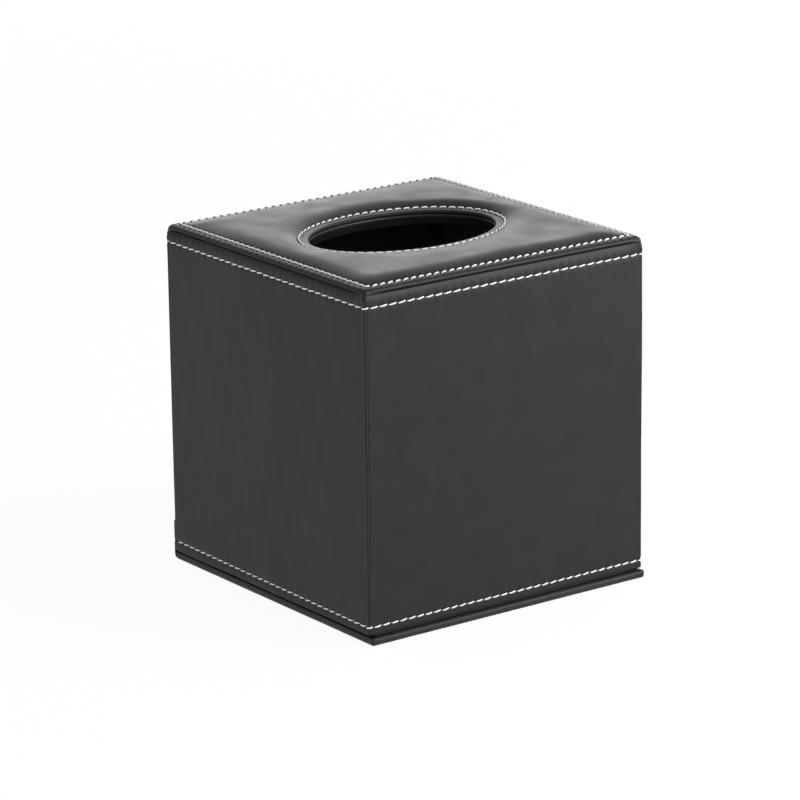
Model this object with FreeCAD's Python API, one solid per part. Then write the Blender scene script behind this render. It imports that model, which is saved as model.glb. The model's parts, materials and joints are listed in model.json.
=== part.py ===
import FreeCAD, Part
import os
from math import atan2, cos, degrees, hypot, pi, radians, sin

# A cube tissue box covered in leather. The box is open below and closed by a flap that
# swings on a leather hinge along the back edge. A padded panel with an oval mouth is
# glued on its top. Millimetres, +Z up, front face towards -Y, the flap's underside at
# Z = 0 and the origin below the middle of the whole object.

# ---- driving dimensions ------------------------------------------------------------
# walls
body_width = 132.5          # across the left and right leather faces
body_depth = 132.5          # across the front and back leather faces
body_height = 132.7         # bottom edge of the walls to the body's flat top
body_corner = 1.0           # radius of the vertical leather corners
top_roll = 2.6              # radius of the leather where a wall rolls over to the top
wall_leather_thickness = 0.9
wall_board_thickness = 3.0
top_board_thickness = 3.0
lining_thickness = 0.5
hem_height = 10.0           # leather turned up inside, below the wall linings
turn_in = 10.0              # leather turned in over the top board

# oval mouth
mouth_length = 80.8         # along X, clear between the leather edges
mouth_width = 55.0          # along Y
binding_thickness = 0.6
binding_flange = 8.0        # width of the binding glued on the top board
edge_round = 0.8            # rounding of the panel's leather edge in the mouth
binding_round = 0.5         # rounding of the binding's upper edge

# padded top panel
panel_setback = 0.1         # panel edge behind the wall faces
panel_corner = 1.4          # radius of the panel's corners
panel_edge_round = 1.1      # rounding of the panel's upper edge
panel_hem_thickness = 0.4   # skived leather turned under the panel board
panel_hem_width = 9.0       # along the panel's outer edge
mouth_hem_width = 8.0       # round the mouth
panel_board_thickness = 0.7
cover_thickness = 0.7       # leather over the pad
crown = 1.9                 # pad height above its stitched edges
fullness = 2.0              # power of the pad's slope: higher is steeper at the stitches
slope_steps = 5             # sections that shape each slope
edge_rise = 8.4             # distance over which the pad rises from its outer edge
mouth_rise = 7.8            # distance over which it rises from the mouth's stitches
crown_ridge = 0.08          # least width of the level crown between the two slopes

# bottom flap
flap_gap = 0.4              # air between the flap and the bottom of the walls
flap_lip = 2.2              # flap edge standing out past the front face
flap_recess = 0.1           # flap narrower than the walls, each side
flap_corner = 1.0           # radius of the flap's vertical corners
flap_leather_thickness = 0.8
flap_board_thickness = 2.0
flap_hem_width = 8.0        # leather turned in on top of the flap board
flap_hem_thickness = 0.3
flap_lining_margin = 3.0    # bare leather edge round the flap's lining
flap_rear_round = 2.8       # rounding of the lower edge at the hinge

# leather hinge
hinge_thickness = 0.8
hinge_height = 12.6         # overlap on the back wall
hinge_inset = 0.1           # shorter than the walls, each end
hinge_wrap = 40.0           # degrees that the strip turns in under the flap's rear edge

# catch magnets
magnet_length = 14.0
magnet_width = 3.6
magnet_thickness = 1.4
magnet_spacing = 70.0
magnet_clearance = 0.1      # glue line round a magnet in its pocket

# stitches
thread_width = 0.8
thread_height = 0.4         # what stands proud of the leather
stitch_gap = 0.6            # bare leather between two stitches
upper_pitch = 4.27          # upper row on the walls
lower_pitch = 4.02          # lower row
edge_pitch = 3.56
mouth_pitch = 3.61
upper_row_drop = 5.2        # upper wall row below the body's top
lower_row_rise = 3.35       # lower wall row above the walls' bottom edge
edge_row_inset = 3.75       # panel row in from the panel's edge
mouth_row_offset = 3.8      # mouth row out from the mouth's edge
stitch_clearance = 0.15     # foot of the pad kept clear of the thread

# ---- levels and places worked out from them ----------------------------------------
flap_top = flap_leather_thickness + flap_board_thickness + lining_thickness
wall_bottom = flap_top + flap_gap
body_top = wall_bottom + body_height
board_bottom = wall_bottom + wall_leather_thickness
top_board_top = body_top - wall_leather_thickness
top_board_bottom = top_board_top - top_board_thickness
panel_board_bottom = body_top + panel_hem_thickness
panel_board_top = panel_board_bottom + panel_board_thickness
panel_edge_top = panel_board_top + cover_thickness

# The object's depth runs from the flap's lip to the stitches on the hinge strip.
body_y = (flap_lip - hinge_thickness - thread_height) / 2
half_x = body_width / 2
half_y = body_depth / 2
front_y = body_y - half_y
back_y = body_y + half_y
board_half_x = half_x - wall_leather_thickness
board_half_y = half_y - wall_leather_thickness
inner_half_x = board_half_x - wall_board_thickness
inner_half_y = board_half_y - wall_board_thickness
clear_half_x = inner_half_x - lining_thickness
clear_half_y = inner_half_y - lining_thickness
board_corner = max(body_corner - wall_leather_thickness, 0.2)
board_roll = max(top_roll - wall_leather_thickness, 0.2)

mouth_a = mouth_length / 2
mouth_b = mouth_width / 2
panel_half_x = half_x - panel_setback
panel_half_y = half_y - panel_setback
edge_row_half_x = panel_half_x - edge_row_inset
edge_row_half_y = panel_half_y - edge_row_inset
edge_row_corner = max(panel_corner - edge_row_inset, 1.0)
pad_foot_inset = thread_width / 2 + stitch_clearance
# The pad's two slopes never take more room than lies between the stitch rows.
stitched_band = min(edge_row_half_x - mouth_a, edge_row_half_y - mouth_b) - mouth_row_offset
slope_room = stitched_band - 2 * pad_foot_inset - cover_thickness - crown_ridge
slope_share = min(1.0, slope_room / (edge_rise + mouth_rise))

flap_half_x = half_x - flap_recess
flap_front = front_y - flap_lip
flap_back = back_y
hinge_half_x = half_x - hinge_inset
magnet_y = front_y + wall_leather_thickness + wall_board_thickness / 2

EPS = 0.01                  # overrun of cutting tools past a face
FAR = 400.0                 # size of a cutting block that is larger than the object


# ---- helpers -----------------------------------------------------------------------
def point(x, y, z):
    return FreeCAD.Vector(x, y, z)


def block(x0, x1, y0, y1, z0, z1):
    return Part.makeBox(x1 - x0, y1 - y0, z1 - z0, point(x0, y0, z0))


def rounded_wire(hx, hy, radius, z, cy=None):
    """Rectangle with round corners, hx by hy from its middle, as a closed wire."""
    cy = body_y if cy is None else cy
    edges = []
    ends = []
    for sx, sy, start in ((1, 1, 0), (-1, 1, 90), (-1, -1, 180), (1, -1, 270)):
        centre = point(sx * (hx - radius), cy + sy * (hy - radius), z)
        spots = [centre + point(radius * cos(radians(start + a)), radius * sin(radians(start + a)), 0)
                 for a in (0, 45, 90)]
        ends.append(spots)
    for i, spots in enumerate(ends):
        edges.append(Part.Arc(*spots).toShape())
        edges.append(Part.LineSegment(spots[2], ends[(i + 1) % 4][0]).toShape())
    return Part.Wire(edges)


def rounded_prism(hx, hy, radius, z0, z1, cy=None):
    face = Part.Face(rounded_wire(hx, hy, radius, z0, cy))
    return face.extrude(point(0, 0, z1 - z0))


def oval_wire(a, b, z):
    return Part.Wire(Part.Ellipse(point(0, body_y, z), a, b).toShape())


def oval_prism(grow, z0, z1):
    """Upright oval prism, larger than the mouth by grow all round."""
    face = Part.Face(oval_wire(mouth_a + grow, mouth_b + grow, z0))
    return face.extrude(point(0, 0, z1 - z0))


def edges_at(shape, z, keep=None):
    """Edges that lie wholly in the plane at height z, or those of them that keep accepts."""
    level = [e for e in shape.Edges if abs(e.BoundBox.ZMin - z) < EPS and abs(e.BoundBox.ZMax - z) < EPS]
    return [e for e in level if keep is None or keep(e)]


def round_the_mouth(edge):
    return edge.BoundBox.XLength < mouth_length + EPS


def save(name, shape):
    os.makedirs("parts", exist_ok=True)
    shape.exportStep("parts/%s.step" % name)


# ---- body --------------------------------------------------------------------------
def rolled_block(hx, hy, corner, roll, z0, z1):
    """Solid block with round vertical corners and a rolled upper edge."""
    solid = rounded_prism(hx, hy, corner, z0, z1)
    return solid.makeFillet(roll, edges_at(solid, z1))


def board_block():
    """All that the wall leather is wrapped round, before it is hollowed."""
    return rolled_block(board_half_x, board_half_y, board_corner, board_roll, board_bottom, top_board_top)


def hollow():
    """The space inside the wall boards."""
    return block(-inner_half_x, inner_half_x, body_y - inner_half_y, body_y + inner_half_y,
                 board_bottom - EPS, top_board_bottom)


def magnet_box(x, y, z, length, width, height, grow):
    return block(x - length / 2 - grow, x + length / 2 + grow, y - width / 2 - grow, y + width / 2 + grow,
                 z - grow, z + height + grow)


def wall_magnet(x, grow=0.0):
    """Bar magnet standing in the bottom edge of the front wall board."""
    z = board_bottom + magnet_clearance
    return magnet_box(x, magnet_y, z, magnet_length, magnet_thickness, magnet_width, grow)


def flap_magnet(x, grow=0.0):
    """Bar magnet lying in the top of the flap board, below the wall's magnet."""
    z = flap_leather_thickness + flap_board_thickness - magnet_thickness - magnet_clearance
    return magnet_box(x, magnet_y, z, magnet_length, magnet_width, magnet_thickness, grow)


def magnet_places():
    return (-magnet_spacing / 2, magnet_spacing / 2)


def make_boards():
    ring = board_block().cut(hollow())
    walls = ring.common(block(-FAR, FAR, -FAR, FAR, board_bottom - EPS, top_board_bottom))
    front = block(-FAR, FAR, -FAR, body_y - inner_half_y, -EPS, FAR)
    back = block(-FAR, FAR, body_y + inner_half_y, FAR, -EPS, FAR)
    front_board = walls.common(front)
    for x in magnet_places():
        front_board = front_board.cut(wall_magnet(x, magnet_clearance))
    save("wall_board_front", front_board)
    save("wall_board_back", walls.common(back))
    sides = walls.cut(front).cut(back)
    save("wall_board_left", sides.common(block(-FAR, 0, -FAR, FAR, -EPS, FAR)))
    save("wall_board_right", sides.common(block(0, FAR, -FAR, FAR, -EPS, FAR)))
    top = ring.common(block(-FAR, FAR, -FAR, FAR, top_board_bottom, FAR))
    save("top_board", top.cut(oval_prism(binding_thickness, top_board_bottom - EPS, body_top)))


def make_wall_leather():
    """One wrap: outside of the walls, rolled in over the top, turned up inside at the bottom."""
    outer = rolled_block(half_x, half_y, body_corner, top_roll, wall_bottom, body_top)
    hem_top = board_bottom + hem_height
    window = rounded_prism(board_half_x - turn_in, board_half_y - turn_in, body_corner,
                           top_board_bottom, body_top + EPS)
    leather = outer.cut(board_block().cut(hollow())).cut(window)
    leather = leather.cut(block(-clear_half_x, clear_half_x, body_y - clear_half_y, body_y + clear_half_y,
                                wall_bottom - EPS, hem_top))
    leather = leather.cut(block(-inner_half_x, inner_half_x, body_y - inner_half_y, body_y + inner_half_y,
                                hem_top, top_board_bottom))
    save("wall_leather", leather)


def make_linings():
    z0 = board_bottom + hem_height
    z1 = top_board_bottom - lining_thickness
    for name, side in (("front", -1), ("back", 1)):
        y = sorted((body_y + side * clear_half_y, body_y + side * inner_half_y))
        save("wall_lining_" + name, block(-inner_half_x, inner_half_x, y[0], y[1], z0, z1))
    for name, side in (("left", -1), ("right", 1)):
        x = sorted((side * clear_half_x, side * inner_half_x))
        save("wall_lining_" + name, block(x[0], x[1], body_y - clear_half_y, body_y + clear_half_y, z0, z1))
    sheet = block(-inner_half_x, inner_half_x, body_y - inner_half_y, body_y + inner_half_y,
                  z1, top_board_bottom)
    save("top_lining", sheet.cut(oval_prism(binding_thickness, z1 - EPS, body_top)))


def make_mouth_binding():
    """Leather collar through the top board, with a flange glued on the board's top."""
    bottom = top_board_bottom - lining_thickness
    collar = oval_prism(binding_thickness, bottom, body_top)
    flange = oval_prism(binding_flange, top_board_top, body_top)
    ring = collar.fuse(flange).cut(oval_prism(0.0, bottom - EPS, body_top + EPS)).removeSplitter()
    save("mouth_binding", ring.makeFillet(binding_round, edges_at(ring, body_top, round_the_mouth)))


def make_wall_magnets():
    save("wall_magnets", Part.makeCompound([wall_magnet(x) for x in magnet_places()]))


# ---- padded top panel --------------------------------------------------------------
def slope(outline, z0):
    """Wires up a slope of the pad; outline makes the one at a distance from the slope's foot."""
    wires = []
    for i in range(slope_steps + 1):
        reach = i / slope_steps
        wires.append(outline(reach * slope_share, z0 + crown * (1 - (1 - reach) ** fullness)))
    return Part.makeLoft(wires, True, False)


def pad(foot, z0):
    """Pillow on the plane at z0, with its feet this far inside the stitches and a level crown."""
    foot += pad_foot_inset

    def outside(reach, z):
        inset = foot + edge_rise * reach
        return rounded_wire(edge_row_half_x - inset, edge_row_half_y - inset, edge_row_corner + inset / 2, z)

    def funnel(reach, z):
        grow = mouth_row_offset + foot + mouth_rise * reach
        return oval_wire(mouth_a + grow, mouth_b + grow, z)

    return slope(outside, z0).cut(slope(funnel, z0))


def panel_board_solid():
    corner = max(panel_corner - cover_thickness, 0.5)
    slab = rounded_prism(panel_half_x - cover_thickness, panel_half_y - cover_thickness, corner,
                         panel_board_bottom, panel_board_top)
    return slab.cut(oval_prism(cover_thickness, panel_board_bottom - EPS, panel_board_top + EPS))


def make_panel():
    board = panel_board_solid()
    save("top_panel_board", board)
    foam = pad(cover_thickness / 2, panel_board_top)
    save("top_foam", foam)
    slab = rounded_prism(panel_half_x, panel_half_y, panel_corner, body_top, panel_edge_top)
    slab = slab.makeFillet(panel_edge_round, edges_at(slab, panel_edge_top))
    slab = slab.cut(oval_prism(0.0, body_top - EPS, panel_edge_top + EPS))
    slab = slab.makeFillet(edge_round, edges_at(slab, panel_edge_top, round_the_mouth))
    inner = rounded_prism(panel_half_x - panel_hem_width, panel_half_y - panel_hem_width, panel_corner,
                          body_top - EPS, panel_board_bottom)
    inner = inner.cut(oval_prism(mouth_hem_width, body_top - 2 * EPS, panel_board_bottom + EPS))
    cover = slab.fuse(pad(0.0, panel_edge_top)).cut(board).cut(foam).cut(inner)
    save("top_leather", cover)


# ---- bottom flap -------------------------------------------------------------------
def flap_prism(inset, z0, z1, corner):
    hx = flap_half_x - inset
    hy = (flap_back - flap_front) / 2 - inset
    return rounded_prism(hx, hy, corner, z0, z1, (flap_front + flap_back) / 2)


def flap_block(inset, z0, z1):
    """Flap outline with its lower rear edge rounded for the hinge strip to follow."""
    solid = flap_prism(inset, z0, z1, max(flap_corner - inset, 0.4))
    radius = max(flap_rear_round - inset, 0.4)
    y = flap_back - inset - radius
    z = z0 + radius
    corner = block(-FAR, FAR, y, FAR, z0 - EPS, z)
    drum = Part.makeCylinder(radius, 2 * FAR, point(-FAR, y, z), point(1, 0, 0))
    return solid.cut(corner.cut(drum))


def make_flap():
    board_top = flap_leather_thickness + flap_board_thickness
    core = flap_block(flap_leather_thickness, flap_leather_thickness, board_top)
    board = core
    for x in magnet_places():
        board = board.cut(flap_magnet(x, magnet_clearance))
    hem_top = board_top + flap_hem_thickness
    outer = flap_block(0.0, 0.0, hem_top)
    window = flap_prism(flap_hem_width, board_top - 2 * EPS, hem_top + EPS, flap_corner)
    save("flap_board", board)
    save("flap_leather", outer.cut(core).cut(window))
    lining = flap_prism(flap_lining_margin, board_top, flap_top, flap_corner)
    hem = block(-FAR, FAR, -FAR, FAR, board_top - EPS, hem_top).cut(window)
    save("flap_lining", lining.cut(hem))
    save("flap_magnets", Part.makeCompound([flap_magnet(x) for x in magnet_places()]))


def make_hinge():
    """Strip glued on the back wall, down over the gap and round the flap's rear edge."""
    radius = flap_rear_round
    axis_y = flap_back - radius
    outer = radius + hinge_thickness
    width = 2 * hinge_half_x
    strip = block(-hinge_half_x, hinge_half_x, back_y, back_y + hinge_thickness,
                  radius, wall_bottom + hinge_height)
    drum = Part.makeCylinder(outer, width, point(-hinge_half_x, axis_y, radius), point(1, 0, 0))
    drum = drum.cut(Part.makeCylinder(radius, width, point(-hinge_half_x, axis_y, radius), point(1, 0, 0)))
    wedge = block(-hinge_half_x, hinge_half_x, axis_y, axis_y + FAR, radius - FAR, radius)
    blunt = wedge.copy()
    blunt.rotate(point(0, axis_y, radius), point(1, 0, 0), -hinge_wrap)
    save("hinge_leather", strip.fuse(drum.common(wedge).cut(blunt)).removeSplitter())


# ---- stitches ----------------------------------------------------------------------
def chip(x, y, z, angle, size):
    """Cutting block for the bare leather between two stitches, across the thread."""
    tool = block(-stitch_gap / 2, stitch_gap / 2, -size, size, -size, size)
    tool.rotate(point(0, 0, 0), point(0, 0, 1), angle)
    tool.translate(point(x, y, z))
    return tool


def side_gaps(hx, hy, pitch, z, size, sides="front back left right"):
    """Gaps along a rectangle, with one stitch bent round each corner."""
    tools = []
    for name in sides.split():
        across = name in ("front", "back")
        half = hx if across else hy
        other = hy if across else hx
        sign = -1 if name in ("front", "left") else 1
        count = max(round(2 * half / pitch), 1)
        for i in range(count):
            along = -half + (i + 0.5) * 2 * half / count
            x, y = (along, sign * other) if across else (sign * other, along)
            tools.append(chip(x, body_y + y, z, 0 if across else 90, size))
    return tools


def wall_ring(z):
    ring = rounded_prism(half_x + thread_height, half_y + thread_height, body_corner + thread_height,
                         z - thread_width / 2, z + thread_width / 2)
    ring = ring.makeChamfer(thread_height / 2, edges_at(ring, z - thread_width / 2)
                            + edges_at(ring, z + thread_width / 2))
    return ring.cut(rounded_prism(half_x, half_y, body_corner, z - thread_width, z + thread_width))


def make_wall_stitching():
    size = thread_width
    upper = body_top - upper_row_drop
    ring = wall_ring(upper).cut(side_gaps(half_x, half_y, upper_pitch, upper, size))
    save("upper_wall_stitching", ring)
    lower = wall_bottom + lower_row_rise
    ring = wall_ring(lower).cut(side_gaps(half_x, half_y, lower_pitch, lower, size, "front left right"))
    ring = ring.cut(block(-FAR, FAR, back_y - lower_pitch / 2, FAR, lower - size, lower + size))
    face = back_y + hinge_thickness
    count = max(round(2 * hinge_half_x / lower_pitch), 1)
    step = 2 * hinge_half_x / count
    rows = [ring]
    for i in range(count):
        x = -hinge_half_x + (i + 0.5) * step
        half = (step - stitch_gap) / 2
        rows.append(block(x - half, x + half, face, face + thread_height,
                          lower - thread_width / 2, lower + thread_width / 2))
    save("lower_wall_stitching", Part.makeCompound([s for row in rows for s in row.Solids]))


def flat_ring(outer, inner):
    top = panel_edge_top + thread_height
    outer = outer.makeChamfer(thread_height / 2, edges_at(outer, top))
    return outer.cut(inner)


def make_panel_stitching():
    z = panel_edge_top
    top = z + thread_height
    half = thread_width / 2
    hx, hy = edge_row_half_x, edge_row_half_y
    outer = rounded_prism(hx + half, hy + half, edge_row_corner + half, z, top)
    inner = rounded_prism(hx - half, hy - half, max(edge_row_corner - half, 0.2), z - EPS, top + EPS)
    ring = flat_ring(outer, inner).cut(side_gaps(hx, hy, edge_pitch, z, thread_width))
    save("top_edge_stitching", ring)

    a, b = mouth_a + mouth_row_offset, mouth_b + mouth_row_offset
    ring = flat_ring(oval_prism(mouth_row_offset + half, z, top),
                     oval_prism(mouth_row_offset - half, z - EPS, top + EPS))
    save("mouth_stitching", ring.cut(oval_gaps(a, b, z)))


def oval_gaps(a, b, z):
    """Gaps at equal lengths of arc round an oval."""
    fine = 3600
    spots = [(a * cos(2 * pi * i / fine), b * sin(2 * pi * i / fine)) for i in range(fine + 1)]
    lengths = [0.0]
    for i in range(fine):
        lengths.append(lengths[-1] + hypot(spots[i + 1][0] - spots[i][0], spots[i + 1][1] - spots[i][1]))
    count = max(round(lengths[-1] / mouth_pitch), 3)
    tools = []
    index = 0
    for i in range(count):
        while lengths[index] < lengths[-1] * i / count:
            index += 1
        x, y = spots[index]
        slope = degrees(atan2(b * b * x, -a * a * y))
        tools.append(chip(x, body_y + y, z, slope, thread_width))
    return tools


make_boards()
make_wall_leather()
make_linings()
make_mouth_binding()
make_wall_magnets()
make_panel()
make_flap()
make_hinge()
make_wall_stitching()
make_panel_stitching()
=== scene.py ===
"""Cube tissue box in stitched black leather: padded top panel, oval mouth, hinged bottom flap."""
import json
import math

import bpy
import numpy as np
from mathutils import Matrix, Vector


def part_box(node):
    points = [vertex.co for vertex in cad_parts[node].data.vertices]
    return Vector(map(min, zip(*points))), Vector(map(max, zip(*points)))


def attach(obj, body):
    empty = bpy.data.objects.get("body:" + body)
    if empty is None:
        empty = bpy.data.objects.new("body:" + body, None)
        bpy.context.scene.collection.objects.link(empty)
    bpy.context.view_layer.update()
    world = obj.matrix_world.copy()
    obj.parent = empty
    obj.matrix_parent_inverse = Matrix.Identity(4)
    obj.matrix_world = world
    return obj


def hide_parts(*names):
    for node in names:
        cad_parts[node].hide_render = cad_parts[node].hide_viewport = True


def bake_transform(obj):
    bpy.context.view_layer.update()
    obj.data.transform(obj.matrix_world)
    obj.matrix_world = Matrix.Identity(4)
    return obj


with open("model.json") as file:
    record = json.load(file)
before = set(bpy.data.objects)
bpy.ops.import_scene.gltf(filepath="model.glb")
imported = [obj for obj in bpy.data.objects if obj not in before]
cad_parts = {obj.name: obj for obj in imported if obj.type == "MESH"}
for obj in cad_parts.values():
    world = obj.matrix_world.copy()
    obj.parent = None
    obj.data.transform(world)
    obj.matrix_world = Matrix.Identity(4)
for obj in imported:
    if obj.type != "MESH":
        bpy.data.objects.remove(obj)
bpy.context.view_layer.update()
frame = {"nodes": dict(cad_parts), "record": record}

MM = 0.001

# ---- places read from the frame ----------------------------------------------------
wall_low, wall_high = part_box("wall_leather")
panel_low, panel_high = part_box("top_leather")
board_low, board_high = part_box("wall_board_front")
roof_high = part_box("top_board")[1]
panel_board_low, panel_board_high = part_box("top_panel_board")
lining_low, lining_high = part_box("wall_lining_front")
binding_low, binding_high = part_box("mouth_binding")
flap_low, flap_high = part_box("flap_leather")
flap_board_low, flap_board_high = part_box("flap_board")
hinge_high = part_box("hinge_leather")[1]
upper_low, upper_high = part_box("upper_wall_stitching")
lower_low, lower_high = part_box("lower_wall_stitching")
edge_row_low, edge_row_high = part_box("top_edge_stitching")
mouth_row_low, mouth_row_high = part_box("mouth_stitching")

half_x = (wall_high.x - wall_low.x) / 2
half_y = (wall_high.y - wall_low.y) / 2
centre = np.array([(wall_high.x + wall_low.x) / 2, (wall_high.y + wall_low.y) / 2])
wall_bottom, body_top = wall_low.z, wall_high.z
leather = board_low.y - wall_low.y
board_thickness = board_high.y - board_low.y
hem_thickness = lining_high.y - lining_low.y
hem_top = lining_low.z
upper_row = (upper_low.z + upper_high.z) / 2
lower_row = (lower_low.z + lower_high.z) / 2

panel_half_x = (panel_high.x - panel_low.x) / 2
panel_half_y = (panel_high.y - panel_low.y) / 2
panel_top = edge_row_low.z                      # leather under the panel's stitches
panel_cover = panel_top - panel_board_high.z
crown = panel_high.z - panel_top
thread_width = upper_high.z - upper_low.z
edge_row_x = (edge_row_high.x - edge_row_low.x - thread_width) / 2
edge_row_y = (edge_row_high.y - edge_row_low.y - thread_width) / 2
mouth_row_a = (mouth_row_high.x - mouth_row_low.x - thread_width) / 2
mouth_row_b = (mouth_row_high.y - mouth_row_low.y - thread_width) / 2
binding_flange = 8.0 * MM                       # width of the binding on the top board
mouth_a = (binding_high.x - binding_low.x) / 2 - binding_flange
mouth_b = (binding_high.y - binding_low.y) / 2 - binding_flange

# ---- sizes of the leather work -----------------------------------------------------
wall_corner = 0.9 * MM
roll_depth, roll_height = 2.5 * MM, 4.4 * MM    # where a wall rolls over to the top
corner_roll = 0.35                              # share of that roll left at the corners
corner_reach = 5.0 * MM                         # how far from a corner its fuller roll is felt
bulge_depth, bulge_drop, bulge_width = 0.18 * MM, 2.4 * MM, 3.0 * MM
fold_depth, fold_width = 0.30 * MM, 0.30 * MM   # crease beside each upright corner
ridge_height, ridge_width, ridge_away = 0.10 * MM, 0.5 * MM, 0.9 * MM
wall_swell, wall_ripple = 0.07 * MM, 0.018 * MM
wall_foot_round = 0.35 * MM
row_rise = 1.0 * MM                             # the lower row climbs this much towards the back
row_start = 0.15                                # share of that climb that lies below its level
turn_in = 10.0 * MM
rear_round, flap_round = 2.8 * MM, 1.1 * MM     # flap's lower edge, at the hinge and elsewhere
flap_corner = 1.0 * MM
panel_corner = 1.4 * MM
edge_fall = 2.4 * MM                            # width of the panel's rounded outer edge
edge_power = 2.0                                # 2 makes that edge an ellipse
corner_droop, droop_reach = 1.0 * MM, 3.8 * MM
panel_hem, mouth_hem = 9.0 * MM, 8.0 * MM
edge_rise, mouth_rise, fullness = 8.4 * MM, 7.8 * MM, 2.0
rear_ease, front_ease = 0.5, 0.6                # how much more slowly the pad rises from the back's row
                                                # and from the front of the mouth's row
hip_softness = 5.0 * MM                         # where the pad's slopes meet at its corners
stitch_foot = 0.6 * MM                          # from a row's line to the pad's foot
pad_swell, pad_ripple = 0.10 * MM, 0.03 * MM
rim_fall = 0.35 * MM                            # of the mouth's rim, inside its stitches
upper_stitches, lower_stitches = 124, 132       # round the walls
edge_stitches, mouth_stitches = 140, 66
hinge_stitches = lower_stitches // 4
stitch_columns = 9                              # of the mesh, to one stitch
stitch_share = 0.80                             # of its pitch that a stitch covers
thread_steps = 15                               # cross-sections of a thread's bar
thread_radius = 0.31 * MM
thread_sink = 0.42 * MM                         # how deep a thread's ends go into the leather
valley_depth, valley_width = 0.24 * MM, 1.0 * MM
hole_depth, hole_width = 0.24 * MM, 0.42 * MM
ripple_height, gather_height = 0.05 * MM, 0.02 * MM    # of the leather beside the stitches


# ---- meshes ------------------------------------------------------------------------
def new_object(name, data):
    """Puts a mesh, lamp or camera into the scene."""
    item = bpy.data.objects.new(name, data)
    bpy.context.scene.collection.objects.link(item)
    return item


def make_object(name, points, faces, material, body=None, replaces=()):
    """Smooth mesh piece from an array of points and a list of faces."""
    mesh = bpy.data.meshes.new(name)
    mesh.from_pydata([tuple(p) for p in np.asarray(points, float).reshape(-1, 3)], [], faces)
    mesh.validate()
    mesh.update()
    mesh.polygons.foreach_set("use_smooth", [True] * len(mesh.polygons))
    mesh.materials.append(material)
    piece = new_object(name, mesh)
    if replaces:
        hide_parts(*replaces)
    if body:
        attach(piece, body)
    return piece


def closed_faces(rows, columns):
    """Quads of a grid that closes on itself both ways."""
    i, j = np.meshgrid(np.arange(rows), np.arange(columns), indexing="ij")
    up, on = (i + 1) % rows, (j + 1) % columns
    quads = np.stack([i * columns + j, i * columns + on, up * columns + on, up * columns + j], -1)
    return quads.reshape(-1, 4).tolist()


def tube_faces(rows, columns):
    """The same grid, open between its last row and its first."""
    return closed_faces(rows, columns)[:-columns]


def arc(centre_point, radii, first, last, steps):
    """Points of an arc in the plane of a profile, angles in degrees."""
    angles = np.radians(np.linspace(first, last, steps + 1))
    return np.stack([centre_point[0] + radii[0] * np.cos(angles),
                     centre_point[1] + radii[1] * np.sin(angles)], -1)


def run(a, b, steps):
    """Points from a towards b, without b."""
    t = np.arange(steps) / steps
    return np.outer(1 - t, a) + np.outer(t, b)


def waves(points, length, seed, count=7):
    """Smooth uneven swell of about -1 to 1, with this wavelength."""
    rng = np.random.default_rng(seed)
    total = np.zeros(points.shape[:-1])
    for _ in range(count):
        direction = rng.normal(size=3)
        direction /= np.linalg.norm(direction)
        stretch = rng.uniform(0.7, 1.6)
        total += np.sin(2 * math.pi * stretch / length * (points @ direction) + rng.uniform(0, 2 * math.pi))
    return total / math.sqrt(count)


def bump(distance, width):
    """Smooth hill of height 1 over a distance of 0."""
    return np.exp(-(distance / width) ** 2)


class Square:
    """Loops round a rounded rectangle; a column of two loops lies on one line across them."""

    def __init__(self, side_places, corner_steps):
        self.places = np.asarray(side_places)
        self.turn = np.linspace(0, math.pi / 2, corner_steps + 1)[1:-1]
        out = []
        for quarter in range(4):
            start = math.pi / 2 * quarter
            out += [self.direction(start - math.pi / 2)] * len(self.places)
            out += [self.direction(start - math.pi / 2 + a) for a in self.turn]
        self.out = np.array(out)
        self.columns = len(out)

    @staticmethod
    def direction(angle):
        return math.cos(angle), math.sin(angle)

    def loop(self, hx, hy, corner):
        """Points about the middle, from the front's left end towards the right."""
        points = []
        corners = [(hx, -hy), (hx, hy), (-hx, hy), (-hx, -hy)]
        for quarter in range(4):
            a = np.array(corners[quarter - 1])
            b = np.array(corners[quarter])
            along = (b - a) / np.linalg.norm(b - a)
            out = np.array([along[1], -along[0]])
            first, last = a + along * corner, b - along * corner
            points.append(first + np.outer(self.places, last - first))
            middle = last - out * corner
            start = math.pi / 2 * (quarter - 1)
            turned = [middle + corner * np.array(self.direction(start + t)) for t in self.turn]
            points.append(np.array(turned).reshape(-1, 2))
        return np.vstack(points)


class Track:
    """Closed line that a row of stitches follows, measured along its length."""

    def __init__(self, points, count, first=0.0):
        self.points = np.vstack([points, points[:1]])
        steps = np.linalg.norm(np.diff(self.points, axis=0), axis=1)
        self.lengths = np.concatenate([[0.0], np.cumsum(steps)])
        self.total = self.lengths[-1]
        self.pitch = self.total / count
        self.stitches = first + self.pitch * np.arange(count)

    def at(self, s):
        s = np.mod(s, self.total)
        return np.stack([np.interp(s, self.lengths, self.points[:, k]) for k in (0, 1)], -1)

    def tangent(self, s):
        step = 0.1 * MM
        ahead = self.at(s + step) - self.at(s - step)
        return ahead / np.linalg.norm(ahead, axis=-1, keepdims=True)

    def from_hole(self, s):
        """Distance along the line from the nearest end of a stitch."""
        phase = np.mod(s - self.stitches[0] + self.pitch / 2, self.pitch)
        return np.minimum(phase, self.pitch - phase)


def corner_nearness(xy, hx, hy, reach):
    """1 at the corners of a rectangle, fading to 0 away from them."""
    away = np.hypot(hx - np.abs(xy[..., 0]), hy - np.abs(xy[..., 1]))
    return bump(away, reach)


def row_relief(track, s, across):
    """How a row of stitches draws the leather in: a soft valley, deeper at the holes."""
    hole = bump(track.from_hole(s), hole_width * 1.6) * bump(across, hole_width)
    ripple = np.cos(2 * math.pi * (s - track.stitches[0]) / track.pitch)
    beside = bump(np.abs(across) - 1.5 * valley_width, 0.7 * valley_width)
    return -valley_depth * bump(across, valley_width) - hole_depth * hole + ripple_height * ripple * beside


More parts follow.
